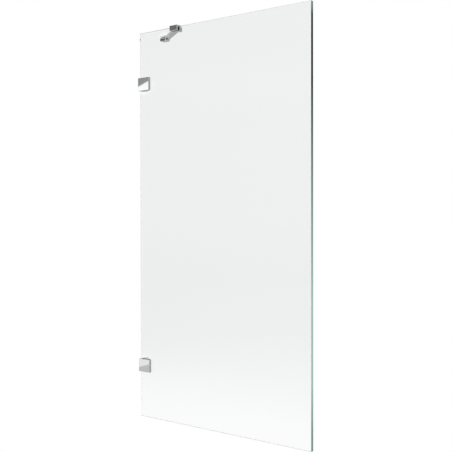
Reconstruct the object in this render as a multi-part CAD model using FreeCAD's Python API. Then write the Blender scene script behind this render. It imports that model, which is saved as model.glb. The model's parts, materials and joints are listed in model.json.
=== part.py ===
"""Frameless bath screen: one clear glass pane held to a wall by two glass-to-wall
brackets, with a short swivelling stay from a clamp on the pane's top edge to a wall foot.

Frame: +X along the pane, away from the wall; +Y behind the pane, where the brackets'
wall legs and the stay are; +Z up.  The wall is the plane x = 0.  The origin is the
middle of the lower bracket's pair of wall screw holes.  Lengths are in millimetres.
"""
import FreeCAD, Part
import math
import os

# ---- pane ----
glass_width = 800.0
glass_height = 1500.0
glass_thick = 12.0
glass_corner_radius = 3.0
glass_arris = 0.5              # chamfer along every outer edge
wall_gap = 2.0                 # wall to the pane's edge

# ---- glass-to-wall brackets ----
bracket_rise = 202.0           # pane's bottom edge to the lower bracket's middle
upper_bracket_drop = 200.0     # pane's top edge to the upper bracket's middle
front_plate_width = 57.5
front_plate_height = 50.0
front_plate_thick = 8.5
front_plate_round = 0.8
plate_wall_clearance = 1.5
gasket_thick = 1.5
gasket_inset = 0.6             # gasket edge inside the metal's edge
body_height = 48.0
leg_depth = 36.0               # pane's rear face to the wall leg's far edge
leg_thick = 6.0
jaw_width = 44.0
jaw_thick = 7.0
body_inner_round = 4.0
body_edge_round = 1.0
wall_screw_back = 20.0         # pane's rear face to the row of wall screw holes
wall_screw_pitch = 28.0
wall_screw_hole_radius = 2.75
wall_screw_sink_radius = 5.5

# ---- screws that pull the front plate to the bracket body ----
clamp_hole_inset = 26.0        # pane's edge to the screw's axis
clamp_hole_pitch = 26.0
clamp_screw_radius = 3.0
clamp_screw_head_radius = 6.0
clamp_screw_grip = 6.0         # threaded length inside the front plate
clamp_screw_socket = 4.0       # across flats
clamp_screw_socket_depth = 2.0
sleeve_radius = 6.9
sleeve_clearance = 0.1         # to the hole in the glass
screw_clearance = 0.3          # radial, in plain holes
thread_clearance = 0.02        # radial, in threaded holes

# ---- clamp over the pane's top edge ----
clamp_from_wall = 186.0        # wall to the clamp's middle
clamp_width = 38.0
clamp_rise = 6.0               # top face above the pane's top edge
clamp_drop = 14.0              # jaws' lower edges below the pane's top edge
clamp_front_thick = 5.2
clamp_back_thick = 4.0
clamp_edge_round = 0.8
liner_thick = 0.8
liner_drop = 12.0
liner_inset = 0.3
pressure_plate_thick = 1.0
pressure_plate_width = 34.0
pressure_plate_height = 11.0
pressure_plate_clearance = 0.2
grub_radius = 2.0
grub_beside_knuckle = 2.5      # knuckle's side to the grub's axis
grub_drop = 8.0                # grub axis below the pane's top edge
grub_socket = 2.0
grub_socket_depth = 1.2
grub_recess = 0.5              # grub's end inside the clamp's rear face

# ---- swivelling stay ----
arm_width = 25.0
arm_thick = 7.0
arm_edge_round = 1.0
swing_clearance = 0.4          # arm's round end to the clamp's rear face
knuckle_height = 8.5           # lug under the arm's end
washer_thick = 0.8
washer_radius = 11.0
washer_play = 0.05             # each side of a washer
shoulder_radius = 4.0
running_clearance = 0.05       # shoulder in its bush, radial
bush_radius = 5.5
seat_clearance = 0.02          # bush in its eye, radial
pivot_thread_radius = 3.0
clamp_pivot_head_radius = 8.0
clamp_pivot_head_thick = 3.0
clamp_pivot_thread = 7.0
pivot_socket = 4.0
pivot_socket_depth = 2.0
pivot_head_round = 1.0

# ---- wall foot ----
foot_back = 124.0              # pane's rear face to the foot's pivot axis
foot_pivot_out = 24.0          # wall to the foot's pivot axis
foot_height = 21.0
foot_swing_clearance = 1.0     # arm's round end to the foot's web
foot_edge_round = 0.8
foot_pivot_head_radius = 6.5
foot_pivot_head_thick = 3.2
foot_pivot_head_clearance = 0.3
foot_pivot_thread = 5.0
foot_screw_pitch = 14.0
foot_screw_hole_radius = 2.2
foot_screw_sink_radius = 3.8

# ---- places worked out from the sizes ----
glass_rear = -wall_screw_back
glass_front = glass_rear - glass_thick
glass_bottom = -bracket_rise
glass_top = glass_bottom + glass_height
bracket_pitch = glass_top - upper_bracket_drop
clamp_screw_x = wall_gap + clamp_hole_inset
glass_hole_radius = sleeve_radius + sleeve_clearance
jaw_front = glass_rear + gasket_thick
jaw_back = jaw_front + jaw_thick
leg_end = glass_rear + leg_depth
plate_back = glass_front - gasket_thick
plate_front = plate_back - front_plate_thick

pressure_front = glass_rear + liner_thick
pressure_back = pressure_front + pressure_plate_thick
clamp_inner_back = pressure_back + pressure_plate_clearance
clamp_back = clamp_inner_back + clamp_back_thick
clamp_inner_front = glass_front - liner_thick
clamp_front = clamp_inner_front - clamp_front_thick
clamp_top = glass_top + clamp_rise
clamp_floor = glass_top - clamp_drop

arm_level = glass_top          # middle of the arm's thickness
washer_gap = washer_thick + 2 * washer_play
knuckle_top = arm_level - arm_thick / 2 - washer_gap
pivot_seat = arm_level + arm_thick / 2 + washer_gap
clamp_pivot_y = clamp_back + swing_clearance + arm_width / 2
foot_pivot_y = glass_rear + foot_back
foot_web = foot_pivot_out - arm_width / 2 - foot_swing_clearance
arm_run_x = foot_pivot_out - clamp_from_wall
arm_run_y = foot_pivot_y - clamp_pivot_y
arm_length = math.hypot(arm_run_x, arm_run_y)
arm_turn = math.degrees(math.atan2(arm_run_y, arm_run_x))

X_AXIS = FreeCAD.Vector(1, 0, 0)
Y_AXIS = FreeCAD.Vector(0, 1, 0)
Z_AXIS = FreeCAD.Vector(0, 0, 1)
CUT_PAST = 1.0                 # how far a cutting tool runs past a face
HEX_SIDES = 6
TINY = 1e-6                    # lengths under this count as none


def block(x_span, y_span, z_span):
    """Box between two values on each axis."""
    size = [span[1] - span[0] for span in (x_span, y_span, z_span)]
    corner = FreeCAD.Vector(x_span[0], y_span[0], z_span[0])
    return Part.makeBox(size[0], size[1], size[2], corner)


def around(middle, width):
    """Span of a width about a middle."""
    return (middle - width / 2, middle + width / 2)


def rod(radius, start, axis, length):
    return Part.makeCylinder(radius, length, FreeCAD.Vector(*start), axis)


def hexagon_prism(across_flats, start, axis, length):
    """Hexagonal prism that starts at a point and runs along an axis."""
    corner_radius = across_flats / math.sqrt(3)
    corners = []
    for corner in range(HEX_SIDES + 1):
        angle = 2 * math.pi * corner / HEX_SIDES
        corners.append(FreeCAD.Vector(corner_radius * math.cos(angle), corner_radius * math.sin(angle), 0))
    prism = Part.Face(Part.makePolygon(corners)).extrude(FreeCAD.Vector(0, 0, length))
    turn = FreeCAD.Rotation(Z_AXIS, axis)
    prism.Placement = FreeCAD.Placement(FreeCAD.Vector(*start), turn)
    return prism


def edges_along(shape, axis):
    """Straight edges parallel to an axis."""
    found = []
    for edge in shape.Edges:
        run = edge.Vertexes[-1].Point - edge.Vertexes[0].Point
        if run.Length > TINY and run.cross(axis).Length < TINY * run.Length:
            found.append(edge)
    return found


def rounded_block(x_span, y_span, z_span, radius):
    solid = block(x_span, y_span, z_span)
    return solid.makeFillet(radius, solid.Edges)


def glass_screw_levels(level):
    """Heights of a bracket's two clamp screws."""
    return around(level, clamp_hole_pitch)


# ---------------------------------------------------------------- pane
def glass_panel():
    pane = block((wall_gap, wall_gap + glass_width), (glass_front, glass_rear), (glass_bottom, glass_top))
    pane = pane.makeFillet(glass_corner_radius, edges_along(pane, Y_AXIS))
    outline = [edge for edge in pane.Edges if edge.BoundBox.YLength < glass_thick / 2]
    pane = pane.makeChamfer(glass_arris, outline)
    for level in (0.0, bracket_pitch):
        for z in glass_screw_levels(level):
            start = (clamp_screw_x, glass_front - CUT_PAST, z)
            pane = pane.cut(rod(glass_hole_radius, start, Y_AXIS, glass_thick + 2 * CUT_PAST))
    return pane


# ---------------------------------------------------------------- brackets
def bracket_body(level):
    """L of a wall leg and a jaw behind the pane, with sunk holes in both."""
    z_span = around(level, body_height)
    leg = block((0.0, leg_thick), (jaw_front, leg_end), z_span)
    jaw = block((0.0, jaw_width), (jaw_front, jaw_back), z_span)
    body = leg.fuse(jaw).removeSplitter()
    body = body.makeFillet(body_inner_round, [upright_edge(body, leg_thick, jaw_back)])
    free_corners = [upright_edge(body, jaw_width, jaw_back), upright_edge(body, leg_thick, leg_end)]
    body = body.makeFillet(body_edge_round, free_corners)
    for z in around(level, wall_screw_pitch):
        body = body.cut(sunk_hole(wall_screw_hole_radius, wall_screw_sink_radius,
                                  (leg_thick, 0.0, z), X_AXIS * -1, leg_thick))
    for z in glass_screw_levels(level):
        body = body.cut(sunk_hole(clamp_screw_radius + screw_clearance,
                                  clamp_screw_head_radius + screw_clearance,
                                  (clamp_screw_x, jaw_back, z), Y_AXIS * -1, jaw_thick))
    return body


def upright_edge(shape, x, y):
    """The upright edge nearest to a place in plan."""
    place = FreeCAD.Vector(x, y, 0)

    def plan_distance(edge):
        point = edge.Vertexes[0].Point
        return (FreeCAD.Vector(point.x, point.y, 0) - place).Length

    return min(edges_along(shape, Z_AXIS), key=plan_distance)


def sunk_hole(radius, sink_radius, mouth, axis, depth):
    """Countersunk hole's cutting tool: the mouth is on the sunk face."""
    start = FreeCAD.Vector(*mouth) - axis * CUT_PAST
    shank = Part.makeCylinder(radius, depth + 2 * CUT_PAST, start, axis)
    sink_depth = sink_radius - radius
    sink = Part.makeCone(sink_radius, radius, sink_depth, FreeCAD.Vector(*mouth), axis)
    return shank.fuse(sink)


def front_plate(level):
    plate = rounded_block((plate_wall_clearance, plate_wall_clearance + front_plate_width),
                          (plate_front, plate_back), around(level, front_plate_height),
                          front_plate_round)
    for z in glass_screw_levels(level):
        start = (clamp_screw_x, plate_back - clamp_screw_grip, z)
        plate = plate.cut(rod(clamp_screw_radius + thread_clearance, start, Y_AXIS,
                              clamp_screw_grip + CUT_PAST))
    return plate


def gasket(level, y_start, x_end, height):
    """Soft pad between metal and glass, with the screws' holes."""
    pad = block((wall_gap, x_end - gasket_inset), (y_start, y_start + gasket_thick),
                around(level, height - 2 * gasket_inset))
    for z in glass_screw_levels(level):
        start = (clamp_screw_x, y_start - CUT_PAST, z)
        pad = pad.cut(rod(clamp_screw_radius + screw_clearance, start, Y_AXIS,
                          gasket_thick + 2 * CUT_PAST))
    return pad


def hole_sleeves(level):
    """Bushes that keep the screws off the edges of the holes in the glass."""
    sleeves = []
    for z in glass_screw_levels(level):
        start = (clamp_screw_x, glass_front, z)
        tube = rod(sleeve_radius, start, Y_AXIS, glass_thick)
        sleeves.append(tube.cut(rod(clamp_screw_radius + screw_clearance, start, Y_AXIS, glass_thick)))
    return Part.makeCompound(sleeves)


def clamp_screws(level):
    """Countersunk socket screws from the jaw's rear face into the front plate."""
    reach = jaw_back - plate_back + clamp_screw_grip
    screws = []
    for z in glass_screw_levels(level):
        face = FreeCAD.Vector(clamp_screw_x, jaw_back, z)
        sink = clamp_screw_head_radius - clamp_screw_radius
        head = Part.makeCone(clamp_screw_head_radius, clamp_screw_radius, sink, face, Y_AXIS * -1)
        shank = Part.makeCylinder(clamp_screw_radius, reach - sink, face - Y_AXIS * sink, Y_AXIS * -1)
        socket = hexagon_prism(clamp_screw_socket, tuple(face), Y_AXIS * -1,
                               clamp_screw_socket_depth)
        screws.append(head.fuse(shank).cut(socket).removeSplitter())
    return Part.makeCompound(screws)


# ---------------------------------------------------------------- clamp on the top edge
def knuckle(height_span):
    """Round-ended lug that stands behind the clamp's rear wall, under the arm's eye."""
    neck = block(around(clamp_from_wall, arm_width),
                 (clamp_back - clamp_back_thick / 2, clamp_pivot_y), height_span)
    nose = rod(arm_width / 2, (clamp_from_wall, clamp_pivot_y, height_span[0]), Z_AXIS,
               knuckle_height)
    return neck.fuse(nose).removeSplitter()


def grub_axes_x():
    return around(clamp_from_wall, arm_width + 2 * grub_beside_knuckle)


def stay_clamp_body():
    x_span = around(clamp_from_wall, clamp_width)
    body = rounded_block(x_span, (clamp_front, clamp_back), (clamp_floor, clamp_top),
                         clamp_edge_round)
    slot = block((x_span[0] - CUT_PAST, x_span[1] + CUT_PAST), (clamp_inner_front, clamp_inner_back),
                 (clamp_floor - CUT_PAST, glass_top + liner_thick))
    body = body.cut(slot)
    body = body.fuse(knuckle((knuckle_top - knuckle_height, knuckle_top))).removeSplitter()
    for x in grub_axes_x():
        start = (x, clamp_inner_back - CUT_PAST, glass_top - grub_drop)
        body = body.cut(rod(grub_radius + thread_clearance, start, Y_AXIS,
                            clamp_back_thick + 2 * CUT_PAST))
    bore = (clamp_from_wall, clamp_pivot_y, knuckle_top - clamp_pivot_thread - screw_clearance)
    return body.cut(rod(pivot_thread_radius + thread_clearance, bore, Z_AXIS,
                        clamp_pivot_thread + screw_clearance + CUT_PAST))


def clamp_liner():
    """Soft channel over the pane's edge."""
    x_span = around(clamp_from_wall, clamp_width - 2 * liner_inset)
    low = glass_top - liner_drop
    channel = block(x_span, (clamp_inner_front, pressure_front), (low, glass_top + liner_thick))
    return channel.cut(block((x_span[0] - CUT_PAST, x_span[1] + CUT_PAST), (glass_front, glass_rear),
                             (low - CUT_PAST, glass_top)))


def pressure_plate():
    z_span = around(glass_top - liner_drop / 2, pressure_plate_height)
    return block(around(clamp_from_wall, pressure_plate_width), (pressure_front, pressure_back), z_span)


def clamp_grub_screws():
    length = clamp_back - grub_recess - pressure_back
    screws = []
    for x in grub_axes_x():
        level = glass_top - grub_drop
        screw = rod(grub_radius, (x, pressure_back, level), Y_AXIS, length)
        screws.append(screw.cut(hexagon_prism(grub_socket, (x, pressure_back + length, level),
                                              Y_AXIS * -1, grub_socket_depth)))
    return Part.makeCompound(screws)


def shoulder_screw(x, y, seat, shoulder_length, head_radius, head_thick, thread_length):
    """Pivot screw, head up: the seat is the height of the head's underside."""
    head = rod(head_radius, (x, y, seat), Z_AXIS, head_thick)
    rim = [edge for edge in head.Edges if edge.BoundBox.ZMin > seat + head_thick / 2]
    head = head.makeFillet(pivot_head_round, rim)
    shoulder = rod(shoulder_radius, (x, y, seat - shoulder_length), Z_AXIS, shoulder_length)
    thread = rod(pivot_thread_radius, (x, y, seat - shoulder_length - thread_length), Z_AXIS,
                 thread_length)
    socket = hexagon_prism(pivot_socket, (x, y, seat + head_thick), Z_AXIS * -1, pivot_socket_depth)
    return head.fuse([shoulder, thread]).cut(socket).removeSplitter()


def clamp_pivot_screw():
    return shoulder_screw(clamp_from_wall, clamp_pivot_y, pivot_seat, pivot_seat - knuckle_top,
                          clamp_pivot_head_radius, clamp_pivot_head_thick, clamp_pivot_thread)


def pivot_washers(x, y):
    """Slip washers under and over the arm's eye."""
    rings = []
    for low in (knuckle_top + washer_play, pivot_seat - washer_play - washer_thick):
        ring = rod(washer_radius, (x, y, low), Z_AXIS, washer_thick)
        hole = rod(shoulder_radius + running_clearance, (x, y, low), Z_AXIS, washer_thick)
        rings.append(ring.cut(hole))
    return Part.makeCompound(rings)


# ---------------------------------------------------------------- arm
def round_ended_bar(length, width, thick):
    """Flat bar with a half round at each end, whose centres are on local X."""
    half = width / 2
    near_low = FreeCAD.Vector(0, -half, 0)
    near_high = FreeCAD.Vector(0, half, 0)
    far_low = FreeCAD.Vector(length, -half, 0)
    far_high = FreeCAD.Vector(length, half, 0)
    outline = Part.Wire([
        Part.LineSegment(near_low, far_low).toShape(),
        Part.Arc(far_low, FreeCAD.Vector(length + half, 0, 0), far_high).toShape(),
        Part.LineSegment(far_high, near_high).toShape(),
        Part.Arc(near_high, FreeCAD.Vector(-half, 0, 0), near_low).toShape(),
    ])
    return Part.Face(outline).extrude(FreeCAD.Vector(0, 0, thick))


def arm():
    """Round-ended bar from the clamp's knuckle to the wall foot, with an eye at each end."""
    bar = round_ended_bar(arm_length, arm_width, arm_thick)
    rims = [edge for edge in bar.Edges if edge.BoundBox.ZLength < arm_thick / 2]
    bar = bar.makeFillet(arm_edge_round, rims)
    for x in (0.0, arm_length):
        bar = bar.cut(rod(bush_radius + seat_clearance, (x, 0, -CUT_PAST), Z_AXIS,
                          arm_thick + 2 * CUT_PAST))
    place = FreeCAD.Vector(clamp_from_wall, clamp_pivot_y, arm_level - arm_thick / 2)
    bar.Placement = FreeCAD.Placement(place, FreeCAD.Rotation(Z_AXIS, arm_turn))
    return bar


def arm_bush(x, y):
    low = arm_level - arm_thick / 2
    tube = rod(bush_radius, (x, y, low), Z_AXIS, arm_thick)
    return tube.cut(rod(shoulder_radius + running_clearance, (x, y, low), Z_AXIS, arm_thick))


# ---------------------------------------------------------------- wall foot
def wall_foot_body():
    """Fork with a round nose, as wide as the arm, whose eye turns in its slot."""
    z_span = around(arm_level, foot_height)
    y_span = around(foot_pivot_y, arm_width)
    root = block((0.0, foot_pivot_out), y_span, z_span)
    nose = rod(arm_width / 2, (foot_pivot_out, foot_pivot_y, z_span[0]), Z_AXIS, foot_height)
    body = root.fuse(nose).removeSplitter()
    rims = [edge for edge in body.Edges if edge.BoundBox.ZLength < TINY and edge.BoundBox.XMax > TINY]
    body = body.makeFillet(foot_edge_round, rims)
    nose_end = foot_pivot_out + arm_width / 2
    body = body.cut(block((foot_web, nose_end + CUT_PAST), (y_span[0] - CUT_PAST, y_span[1] + CUT_PAST),
                          (knuckle_top, pivot_seat)))
    head_seat = z_span[1] - foot_pivot_head_thick - foot_pivot_head_clearance
    thread_end = knuckle_top - foot_pivot_thread - thread_clearance
    for radius, low, high in (
            (pivot_thread_radius + thread_clearance, thread_end, arm_level),
            (shoulder_radius + running_clearance, arm_level, head_seat + CUT_PAST),
            (foot_pivot_head_radius + foot_pivot_head_clearance, head_seat, z_span[1] + CUT_PAST)):
        body = body.cut(rod(radius, (foot_pivot_out, foot_pivot_y, low), Z_AXIS, high - low))
    for y in around(foot_pivot_y, foot_screw_pitch):
        body = body.cut(sunk_hole(foot_screw_hole_radius, foot_screw_sink_radius,
                                  (foot_web, y, arm_level), X_AXIS * -1, foot_web))
    return body


def foot_pivot_screw():
    seat = arm_level + foot_height / 2 - foot_pivot_head_thick - foot_pivot_head_clearance
    return shoulder_screw(foot_pivot_out, foot_pivot_y, seat, seat - knuckle_top,
                          foot_pivot_head_radius, foot_pivot_head_thick, foot_pivot_thread)


# ---------------------------------------------------------------- assembly
def all_pieces():
    pieces = {"glass_panel": glass_panel()}
    for prefix, level in (("lower", 0.0), ("upper", bracket_pitch)):
        pieces[prefix + "_bracket_body"] = bracket_body(level)
        pieces[prefix + "_front_plate"] = front_plate(level)
        pieces[prefix + "_front_gasket"] = gasket(level, plate_back,
                                                  plate_wall_clearance + front_plate_width,
                                                  front_plate_height)
        pieces[prefix + "_rear_gasket"] = gasket(level, glass_rear, jaw_width, body_height)
        pieces[prefix + "_hole_sleeves"] = hole_sleeves(level)
        pieces[prefix + "_clamp_screws"] = clamp_screws(level)
    pieces["stay_clamp_body"] = stay_clamp_body()
    pieces["stay_clamp_liner"] = clamp_liner()
    pieces["stay_pressure_plate"] = pressure_plate()
    pieces["stay_grub_screws"] = clamp_grub_screws()
    pieces["clamp_pivot_screw"] = clamp_pivot_screw()
    pieces["clamp_pivot_washers"] = pivot_washers(clamp_from_wall, clamp_pivot_y)
    pieces["stay_arm"] = arm()
    pieces["arm_clamp_bush"] = arm_bush(clamp_from_wall, clamp_pivot_y)
    pieces["arm_foot_bush"] = arm_bush(foot_pivot_out, foot_pivot_y)
    pieces["wall_foot_body"] = wall_foot_body()
    pieces["foot_pivot_screw"] = foot_pivot_screw()
    pieces["foot_pivot_washers"] = pivot_washers(foot_pivot_out, foot_pivot_y)
    return pieces


def main():
    os.makedirs("parts", exist_ok=True)
    for name, shape in all_pieces().items():
        shape.exportStep("parts/" + name + ".step")
        state = "valid" if shape.isValid() else "NOT VALID"
        print(f"{name}: {len(shape.Solids)} solid(s), {shape.Volume:.1f} mm3, {state}")
    print(f"arm: {arm_length:.2f} mm between pivots, turned {arm_turn:.2f} degrees")
    print(f"clamp pivot y {clamp_pivot_y:.2f}, foot pivot y {foot_pivot_y:.2f}, level {arm_level:.2f}")


main()
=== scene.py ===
"""Looks for a frameless bath screen: materials, a pale studio and the photograph's viewpoint.

Frame: x = 0 is the wall, +X runs along the pane, +Y is behind it, +Z is up.  Metres.
"""

import json
import math

import bpy
from mathutils import Matrix, Vector


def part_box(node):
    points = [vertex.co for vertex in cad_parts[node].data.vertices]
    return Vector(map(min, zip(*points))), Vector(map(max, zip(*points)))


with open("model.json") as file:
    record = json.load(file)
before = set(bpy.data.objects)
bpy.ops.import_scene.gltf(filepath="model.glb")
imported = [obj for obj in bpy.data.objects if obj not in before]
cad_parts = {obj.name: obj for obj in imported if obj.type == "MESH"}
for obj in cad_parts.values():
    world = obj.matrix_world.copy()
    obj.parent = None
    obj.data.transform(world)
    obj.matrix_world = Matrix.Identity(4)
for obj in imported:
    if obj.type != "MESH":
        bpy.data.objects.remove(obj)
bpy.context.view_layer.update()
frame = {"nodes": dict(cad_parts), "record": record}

# ---- camera, solved from the pane's four corners ----
CAMERA_PLACE = (2.31358, -2.32588, 0.59117)
CAMERA_YAW = 39.2868           # degrees
CAMERA_PITCH = -0.8225
CAMERA_ROLL = -0.1046
FOCAL_PIXELS = 824.50
PICTURE_PIXELS = 452
SENSOR_WIDTH = 36.0            # millimetres
CLIP_START = 0.05

# ---- floor ----
FLOOR_LEVEL = -0.78            # a bath's rim stands this far above its floor
FLOOR_RADIUS = 1.45
FLOOR_MIDDLE = (0.40, 0.0)
FLOOR_SIDES = 96
FLOOR_PATCHES = 6.0            # patches of tone, per metre
FLOOR_DULL = 0.86
FLOOR_BRIGHT = 0.89
FLOOR_GLOW = 0.72              # share of plain white in what the camera, metal and glass see of it

# ---- lamps: name, place, target, watts ----
LAMPS = (
    ("key", (2.2, -2.4, 2.6), (0.4, 0.0, 0.5), 60.0),
    ("fill", (-1.6, -2.0, 1.8), (0.3, 0.0, 0.5), 25.0),
    ("back", (1.0, 2.2, 2.4), (0.3, 0.0, 0.5), 30.0),
)
LAMP_SIZE = 1.6

# ---- room, set by trial against the photograph ----
WHITE = (1.0, 1.0, 1.0, 1.0)
MATT_LIGHT = 0.55              # the room's strength on matt surfaces
# greys by height: 0 is straight down, 0.5 level, 1 straight up
ROOM_GREYS = (                 # bright floor and ceiling, mid-grey walls
    (0.000, 0.97), (0.3880, 0.97), (0.3905, 0.50), (0.600, 0.47),
    (0.6095, 0.50), (0.6120, 0.97), (1.000, 0.97))
FRONT_GREYS = (                # the wall that the pane's front mirrors
    (0.00, 0.95), (0.370, 0.95), (0.400, 0.75), (0.428, 0.18), (0.462, 0.03), (0.500, 0.20),
    (0.560, 0.22), (0.580, 0.30), (0.600, 0.18), (0.640, 0.15), (0.75, 0.60), (1.00, 0.95))
# shares by bearing: 0 and 1 are towards -X, 0.25 is -Y, 0.5 is +X, 0.75 is +Y
FRONT_SPAN = (                 # where that wall stands
    (0.00, 0.0), (0.060, 0.0), (0.085, 1.0), (0.190, 1.0), (0.200, 0.0), (1.00, 0.0))
WHITE_BOXES = (                # two tall soft boxes, for the rounded edges
    (0.00, 0.0), (0.205, 0.0), (0.215, 1.0), (0.275, 1.0), (0.285, 0.0),
    (0.595, 0.0), (0.600, 1.0), (0.640, 1.0), (0.645, 0.0), (1.00, 0.0))
DARK_FLAGS = (                 # three dark strips, for the rounded edges
    (0.00, 1.0), (0.300, 1.0), (0.310, 0.12), (0.350, 0.12), (0.360, 1.0),
    (0.430, 1.0), (0.440, 0.25), (0.470, 0.25), (0.480, 1.0),
    (0.647, 1.0), (0.651, 0.15), (0.667, 0.15), (0.675, 1.0), (1.00, 1.0))

# ---- far cards, where the camera looks in some flat faces of the metal ----
FRONT = Vector((0.0, -1.0, 0.0))
OUTWARD = Vector((1.0, 0.0, 0.0))
FAR_CARDS = (                  # node, side, tilt in degrees, tone above its line, tone below it
    ("upper_front_plate", FRONT, 30.0, 0.34, 1.20),
    ("lower_front_plate", FRONT, 12.0, 0.95, 0.62),
    ("upper_front_plate", OUTWARD, 0.0, 0.49, 0.49),
    ("lower_front_plate", OUTWARD, 0.0, 0.51, 0.51),
    ("stay_clamp_body", OUTWARD, 0.0, 0.42, 0.42),
    ("wall_foot_body", FRONT, 0.0, 0.90, 0.10),
)
CARD_FADE = 1.15               # a card's outer radius over its full one
CARD_SHARPNESS = 900.0         # how fast a card changes tone across its line

# ---- glass: tones rounded, judged against readings of the photograph ----
GLASS_IOR = 1.5
FACE_NORMAL = 0.9              # |normal Y| above which a surface is one of the pane's faces
CUT_NORMAL = 0.3               # |normal Y| below which it is cut; an arris lies between the two
GLASS_BODY = (0.922, 0.939, 0.931)     # faces, over most of the pane
GLASS_FOOT_REFLECTION = (0.960, 0.970, 0.965)     # faces near the bottom, lighter: a painted reflection of the floor
EDGE_PAINTED_PALE = (0.43, 0.66, 0.61)         # free edge, green with painted light from the bath
EDGE_PAINTED_DARK = (0.005, 0.015, 0.012)      # free edge near the top, painted shade: a dark reflection of the room
EDGE_PAINTED_LOW = (0.22, 0.36, 0.33)          # free edge, in the last hand's width at the bottom: painted shade, darker than the pale band
EDGE_PAINTED_TIP = (0.15, 0.28, 0.25)          # free edge, at its very top: painted reflection, lighter than the dark band
GRIND_DULL = (0.97, 0.99, 0.985)       # the other edges, ground
GRIND_BRIGHT = (1.0, 1.0, 1.0)
GRIND_GRAIN = 260.0            # grains per metre
ARRIS_ROUGHNESS = 0.70
EDGE_ROUGHNESS = 0.20
# tones by height on the pane, 0 at its bottom and 1 at its top; the faces lighten near the bottom
# with a painted floor reflection, and the free edge carries painted reflections of the room
FACE_TINT_AND_REFLECTION_STOPS = ((0.05, GLASS_FOOT_REFLECTION), (0.16, GLASS_BODY))
# the free edge's green, with painted light and shade by height
EDGE_PAINTED_STOPS = (
    (0.04, EDGE_PAINTED_LOW), (0.15, EDGE_PAINTED_PALE), (0.33, EDGE_PAINTED_PALE), (0.82, EDGE_PAINTED_DARK),
    (0.97, EDGE_PAINTED_DARK), (0.99, EDGE_PAINTED_TIP))

# ---- metal ----
CHROME_CLOUDS = 55.0           # cells per metre, in its colour
CHROME_HAZE = 140.0            # cells per metre, in its gloss
CHROME_DULL = (0.775, 0.785, 0.800)
CHROME_BRIGHT = (0.820, 0.828, 0.838)
CHROME_ROUGHNESS = (0.006, 0.024)
STEEL_MARKS = 700.0            # turning marks per metre
STEEL_STRETCH = (1.0, 0.15, 1.0)
STEEL_DULL = (0.52, 0.52, 0.51)
STEEL_BRIGHT = (0.66, 0.66, 0.65)
STEEL_ROUGHNESS = (0.22, 0.36)
STEEL_BUMP = 0.15
STEEL_BUMP_DEPTH = 0.00005

# ---- rubber and nylon: dark tone, light tone, roughness, grains per metre, bump ----
BLACK_RUBBER = ((0.018, 0.018, 0.019), (0.040, 0.040, 0.042), 0.62, 900.0, 0.25)
WHITE_NYLON = ((0.74, 0.74, 0.71), (0.82, 0.82, 0.79), 0.45, 600.0, 0.10)
BLACK_NYLON = ((0.030, 0.030, 0.032), (0.052, 0.052, 0.055), 0.42, 700.0, 0.12)
GRAIN_GLOSSIER = 0.06          # how far a grain's roughness strays down and up
GRAIN_DULLER = 0.08
GRAIN_DEPTH = 0.0001

# sockets of a Mix node for colours
MIX_SHARE, MIX_FIRST, MIX_SECOND, MIX_RESULT = 0, 6, 7, 2


# ---------------------------------------------------------------- node helpers
def add_node(tree, kind, **settings):
    node = tree.nodes.new(kind)
    for name, value in settings.items():
        setattr(node, name, value)
    return node


def feed(tree, value, node, entry):
    """Set an input of a node, or link it where the value is a (node, output) pair."""
    if isinstance(value, tuple) and isinstance(value[0], bpy.types.Node):
        tree.links.new(value[0].outputs[value[1]], node.inputs[entry])
    else:
        node.inputs[entry].default_value = value


def math_node(tree, operation, *values, clamp=False):
    """Math node whose inputs are numbers or (node, output) pairs."""
    node = add_node(tree, "ShaderNodeMath", operation=operation, use_clamp=clamp)
    for entry, value in enumerate(values):
        feed(tree, value, node, entry)
    return (node, 0)


def mix_colours(tree, share, first, second, blend="MIX"):
    node = add_node(tree, "ShaderNodeMix", data_type="RGBA", blend_type=blend)
    feed(tree, share, node, MIX_SHARE)
    feed(tree, first, node, MIX_FIRST)
    feed(tree, second, node, MIX_SECOND)
    return (node, MIX_RESULT)


def mix_shaders(tree, share, first, second):
    node = add_node(tree, "ShaderNodeMixShader")
    for entry, value in enumerate((share, first, second)):
        feed(tree, value, node, entry)
    return (node, 0)


def split_vector(tree, vector):
    node = add_node(tree, "ShaderNodeSeparateXYZ")
    feed(tree, vector, node, "Vector")
    return node


def dot_product(tree, vector, direction):
    node = add_node(tree, "ShaderNodeVectorMath", operation="DOT_PRODUCT")
    feed(tree, vector, node, 0)
    feed(tree, direction, node, 1)
    return (node, "Value")


def ramp_node(tree, factor, stops):
    """Colour ramp from (position, grey or colour) stops."""
    node = add_node(tree, "ShaderNodeValToRGB")
    elements = node.color_ramp.elements
    while len(elements) < len(stops):
        elements.new(0.5)
    for element, (position, colour) in zip(elements, stops):
        element.position = position
        if not isinstance(colour, tuple):
            colour = (colour, colour, colour)
        element.color = colour + (1.0,)
    feed(tree, factor, node, "Fac")
    return (node, "Color")


def spread(tree, texture, low, high, start=0.30, end=0.70):
    """Ramp from one tone or number to another over the middle of a texture's range."""
    return ramp_node(tree, texture, ((start, low), (end, high)))


def noise(tree, scale, detail=3.0, stretch=(1.0, 1.0, 1.0)):
    place = add_node(tree, "ShaderNodeTexCoord")
    mapping = add_node(tree, "ShaderNodeMapping")
    feed(tree, stretch, mapping, "Scale")
    feed(tree, (place, "Object"), mapping, "Vector")
    node = add_node(tree, "ShaderNodeTexNoise")
    feed(tree, scale, node, "Scale")
    feed(tree, detail, node, "Detail")
    feed(tree, (mapping, "Vector"), node, "Vector")
    return (node, "Fac")


def add_bump(tree, shader, height, strength, distance):
    node = add_node(tree, "ShaderNodeBump")
    feed(tree, strength, node, "Strength")
    feed(tree, distance, node, "Distance")
    feed(tree, height, node, "Height")
    feed(tree, (node, "Normal"), shader, "Normal")


# ---------------------------------------------------------------- materials
def new_material(name):
    material = bpy.data.materials.new(name)
    material.use_nodes = True
    tree = material.node_tree
    shader = next(node for node in tree.nodes if node.type == "BSDF_PRINCIPLED")
    return material, tree, shader


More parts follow.
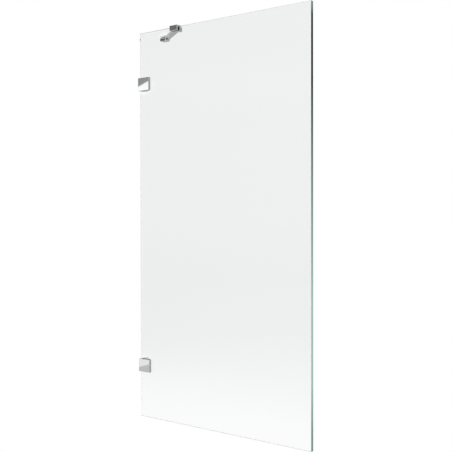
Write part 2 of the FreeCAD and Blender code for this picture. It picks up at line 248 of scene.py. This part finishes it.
def chrome():
    """Bright plate: faint clouding in its colour and gloss."""
    material, tree, shader = new_material("chrome_plate")
    feed(tree, 1.0, shader, "Metallic")
    clouds = noise(tree, CHROME_CLOUDS)
    feed(tree, spread(tree, clouds, CHROME_DULL, CHROME_BRIGHT), shader, "Base Color")
    haze = noise(tree, CHROME_HAZE)
    feed(tree, spread(tree, haze, *CHROME_ROUGHNESS, start=0.35), shader, "Roughness")
    return material


def steel():
    """Plain stainless screw stock, with fine turning marks."""
    material, tree, shader = new_material("screw_steel")
    feed(tree, 1.0, shader, "Metallic")
    marks = noise(tree, STEEL_MARKS, detail=4.0, stretch=STEEL_STRETCH)
    feed(tree, spread(tree, marks, STEEL_DULL, STEEL_BRIGHT), shader, "Base Color")
    feed(tree, spread(tree, marks, *STEEL_ROUGHNESS), shader, "Roughness")
    add_bump(tree, shader, marks, STEEL_BUMP, STEEL_BUMP_DEPTH)
    return material


def soft_solid(name, dark, light, rough, grains, bump):
    """Matt rubber or nylon with a fine moulded grain."""
    material, tree, shader = new_material(name)
    texture = noise(tree, grains, detail=5.0)
    feed(tree, spread(tree, texture, dark, light, start=0.35), shader, "Base Color")
    gloss = spread(tree, texture, rough - GRAIN_GLOSSIER, rough + GRAIN_DULLER)
    feed(tree, gloss, shader, "Roughness")
    add_bump(tree, shader, texture, bump, GRAIN_DEPTH)
    return material


def clear_glass():
    """Float glass: clear faces, frosted arrises, satin cut edges and green on the free edge, with
    painted reflections by height on the faces and on the free edge.
    """
    material, tree, shader = new_material("float_glass")
    feed(tree, GLASS_IOR, shader, "IOR")
    geometry = add_node(tree, "ShaderNodeNewGeometry")
    normal = split_vector(tree, (geometry, "True Normal"))
    facing = math_node(tree, "ABSOLUTE", (normal, "Y"))
    not_face = math_node(tree, "LESS_THAN", facing, FACE_NORMAL)
    cut_edge = math_node(tree, "LESS_THAN", facing, CUT_NORMAL)
    outside = math_node(tree, "SUBTRACT", 1.0, (geometry, "Backfacing"))
    place = split_vector(tree, (geometry, "Position"))
    pane_low, pane_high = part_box("glass_panel")
    height = math_node(tree, "SUBTRACT", (place, "Z"), pane_low[2])
    up = math_node(tree, "DIVIDE", height, pane_high[2] - pane_low[2], clamp=True)
    # the faces' own tint, lightened near the bottom by a painted reflection of the floor
    face_tint_and_reflection = ramp_node(tree, up, FACE_TINT_AND_REFLECTION_STOPS)
    # the free edge's green, lighter and darker by height: painted reflections of the room
    edge_green_and_reflection = ramp_node(tree, up, EDGE_PAINTED_STOPS)
    grind = spread(tree, noise(tree, GRIND_GRAIN, detail=4.0), GRIND_DULL, GRIND_BRIGHT)
    # the free edge faces along the pane, in its half away from the wall
    sideways = math_node(tree, "ABSOLUTE", (normal, "X"))
    upright = math_node(tree, "GREATER_THAN", sideways, CUT_NORMAL)
    far_half = math_node(tree, "GREATER_THAN", (place, "X"), (pane_low[0] + pane_high[0]) / 2)
    free_edge = math_node(tree, "MULTIPLY", upright, far_half)
    ground_or_green = mix_colours(tree, free_edge, grind, edge_green_and_reflection)
    feed(tree, mix_colours(tree, not_face, face_tint_and_reflection, ground_or_green), shader, "Base Color")
    # light doesn't pass the free edge's arrises, nor a cut edge from outside
    arris = math_node(tree, "SUBTRACT", not_face, cut_edge)
    cut_outside = math_node(tree, "MULTIPLY", cut_edge, outside)
    closed_arris = math_node(tree, "MULTIPLY", arris, free_edge)
    closed = math_node(tree, "ADD", closed_arris, cut_outside)
    feed(tree, math_node(tree, "SUBTRACT", 1.0, closed), shader, "Transmission Weight")
    frosted = math_node(tree, "MULTIPLY", arris, ARRIS_ROUGHNESS)
    satin = math_node(tree, "MULTIPLY", cut_outside, EDGE_ROUGHNESS)
    feed(tree, math_node(tree, "ADD", frosted, satin), shader, "Roughness")
    return material


# ---------------------------------------------------------------- studio
def mirrored_room(tree, direction):
    """What metal and glass mirror: grey walls, white boxes, dark flags and the far cards."""
    parts = split_vector(tree, direction)
    height = math_node(tree, "MULTIPLY_ADD", (parts, "Z"), 0.5, 0.5)
    compass = math_node(tree, "ARCTAN2", (parts, "Y"), (parts, "X"))
    bearing = math_node(tree, "MULTIPLY_ADD", compass, 0.5 / math.pi, 0.5)
    room = ramp_node(tree, height, ROOM_GREYS)
    front = ramp_node(tree, height, FRONT_GREYS)
    walls = mix_colours(tree, ramp_node(tree, bearing, FRONT_SPAN), room, front)
    boxes = ramp_node(tree, bearing, WHITE_BOXES)
    flags = ramp_node(tree, bearing, DARK_FLAGS)
    shaded = mix_colours(tree, 1.0, walls, flags, blend="MULTIPLY")
    seen = mix_colours(tree, boxes, shaded, WHITE)
    for node, side, tilt, above, below in FAR_CARDS:
        seen = far_card(tree, direction, seen, mirror_cone(node, side), tilt, above, below)
    return seen


def mirror_cone(node, side):
    """Direction and half angle of what the camera sees mirrored in one face of a node's box."""
    low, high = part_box(node)
    depth = abs((high - low).dot(side))
    face = (low + high) / 2 + side * depth / 2
    sight = face - Vector(CAMERA_PLACE)
    reach = math.sqrt((high - low).length_squared - depth ** 2) / 2 / sight.length
    sight.normalize()
    return sight - 2 * sight.dot(side) * side, reach


def far_card(tree, direction, under, cone, tilt, above, below):
    """A small round card far off, split along a tilted line through its middle."""
    middle, reach = cone
    level = Vector((middle.y, -middle.x, 0.0)).normalized()
    upright = level.cross(middle).normalized()
    if upright.z < 0:
        upright.negate()
    lean = math.radians(tilt)
    across = math.cos(lean) * upright + math.sin(lean) * level
    height = dot_product(tree, direction, across)
    upper = math_node(tree, "MULTIPLY_ADD", height, CARD_SHARPNESS, 0.5, clamp=True)
    tones = mix_colours(tree, upper, (below, below, below, 1.0), (above, above, above, 1.0))
    nearness = dot_product(tree, direction, middle)
    full, gone = (math.cos(angle) for angle in (reach, reach * CARD_FADE))
    steepness = 1.0 / (full - gone)
    inside = math_node(tree, "MULTIPLY_ADD", nearness, steepness, -gone * steepness, clamp=True)
    return mix_colours(tree, inside, under, tones)


def background(tree, colour, strength=1.0):
    node = add_node(tree, "ShaderNodeBackground")
    feed(tree, colour, node, "Color")
    feed(tree, strength, node, "Strength")
    return (node, 0)


def studio_world():
    """White room seen directly and through glass, plain light on matt surfaces, greys in mirrors."""
    world = bpy.data.worlds.new("studio")
    bpy.context.scene.world = world
    world.use_nodes = True
    tree = world.node_tree
    tree.nodes.clear()
    place = add_node(tree, "ShaderNodeTexCoord")
    in_metal = background(tree, mirrored_room(tree, (place, "Generated")))
    seen = background(tree, WHITE)
    on_matt = background(tree, WHITE, MATT_LIGHT)
    rays = add_node(tree, "ShaderNodeLightPath")
    direct = math_node(tree, "MAXIMUM", (rays, "Is Camera Ray"), (rays, "Is Transmission Ray"))
    reflected = math_node(tree, "MINIMUM", (rays, "Glossy Depth"), 1.0)
    plain = mix_shaders(tree, direct, on_matt, seen)
    output = add_node(tree, "ShaderNodeOutputWorld")
    feed(tree, mix_shaders(tree, reflected, plain, in_metal), output, "Surface")


def pale_floor():
    """Round matt floor: its colour reads as the white room, and it keeps the object's shadow."""
    bpy.ops.mesh.primitive_circle_add(vertices=FLOOR_SIDES, radius=FLOOR_RADIUS, fill_type="NGON",
                                      location=FLOOR_MIDDLE + (FLOOR_LEVEL,))
    floor = bpy.context.object
    floor.name = "floor"
    material = bpy.data.materials.new("pale_floor")
    material.use_nodes = True
    tree = material.node_tree
    tree.nodes.clear()
    matt = add_node(tree, "ShaderNodeBsdfDiffuse")
    tone = spread(tree, noise(tree, FLOOR_PATCHES), FLOOR_DULL, FLOOR_BRIGHT)
    feed(tree, tone, matt, "Color")
    glow = add_node(tree, "ShaderNodeEmission")
    rays = add_node(tree, "ShaderNodeLightPath")
    straight = math_node(tree, "MAXIMUM", (rays, "Is Camera Ray"), (rays, "Is Transmission Ray"))
    direct = math_node(tree, "MAXIMUM", straight, (rays, "Is Glossy Ray"))
    share = math_node(tree, "MULTIPLY", direct, FLOOR_GLOW)
    output = add_node(tree, "ShaderNodeOutputMaterial")
    feed(tree, mix_shaders(tree, share, (matt, 0), (glow, 0)), output, "Surface")
    floor.data.materials.append(material)


def soft_lamp(name, place, target, watts):
    """Round soft lamp that metal and glass don't mirror."""
    data = bpy.data.lights.new(name, "AREA")
    data.shape = "DISK"
    data.size = LAMP_SIZE
    data.energy = watts
    lamp = bpy.data.objects.new(name, data)
    lamp.location = place
    lamp.rotation_euler = (Vector(target) - Vector(place)).to_track_quat("-Z", "Y").to_euler()
    lamp.visible_glossy = False
    lamp.visible_transmission = False
    bpy.context.scene.collection.objects.link(lamp)


def photo_camera():
    yaw, pitch, roll = (math.radians(angle) for angle in (CAMERA_YAW, CAMERA_PITCH, CAMERA_ROLL))
    ahead = Vector((
        -math.sin(yaw) * math.cos(pitch), math.cos(yaw) * math.cos(pitch), math.sin(pitch)))
    level = Vector((math.cos(yaw), math.sin(yaw), 0.0))
    upright = level.cross(ahead)
    right = math.cos(roll) * level + math.sin(roll) * upright
    up = -math.sin(roll) * level + math.cos(roll) * upright
    data = bpy.data.cameras.new("camera")
    data.sensor_width = SENSOR_WIDTH
    data.lens = FOCAL_PIXELS * SENSOR_WIDTH / PICTURE_PIXELS
    data.clip_start = CLIP_START
    camera = bpy.data.objects.new("camera", data)
    turn = Matrix((right, up, -ahead)).transposed().to_4x4()
    camera.matrix_world = Matrix.Translation(CAMERA_PLACE) @ turn
    bpy.context.scene.collection.objects.link(camera)
    bpy.context.scene.camera = camera


# ---------------------------------------------------------------- the scene
FINISHES = {
    "clear_glass": clear_glass(),
    "bright_chrome": chrome(),
    "bright_steel": steel(),
    "black_rubber": soft_solid("black_rubber", *BLACK_RUBBER),
    "white_nylon": soft_solid("white_nylon", *WHITE_NYLON),
    "black_nylon": soft_solid("black_nylon", *BLACK_NYLON),
}

for entry in frame["record"]["subparts"]:
    for slot in frame["nodes"][entry["node"]].material_slots:
        slot.material = FINISHES[entry["material_slot"]]

studio_world()
pale_floor()
for lamp in LAMPS:
    soft_lamp(*lamp)
photo_camera()

scene = bpy.context.scene
scene.view_settings.view_transform = "Standard"
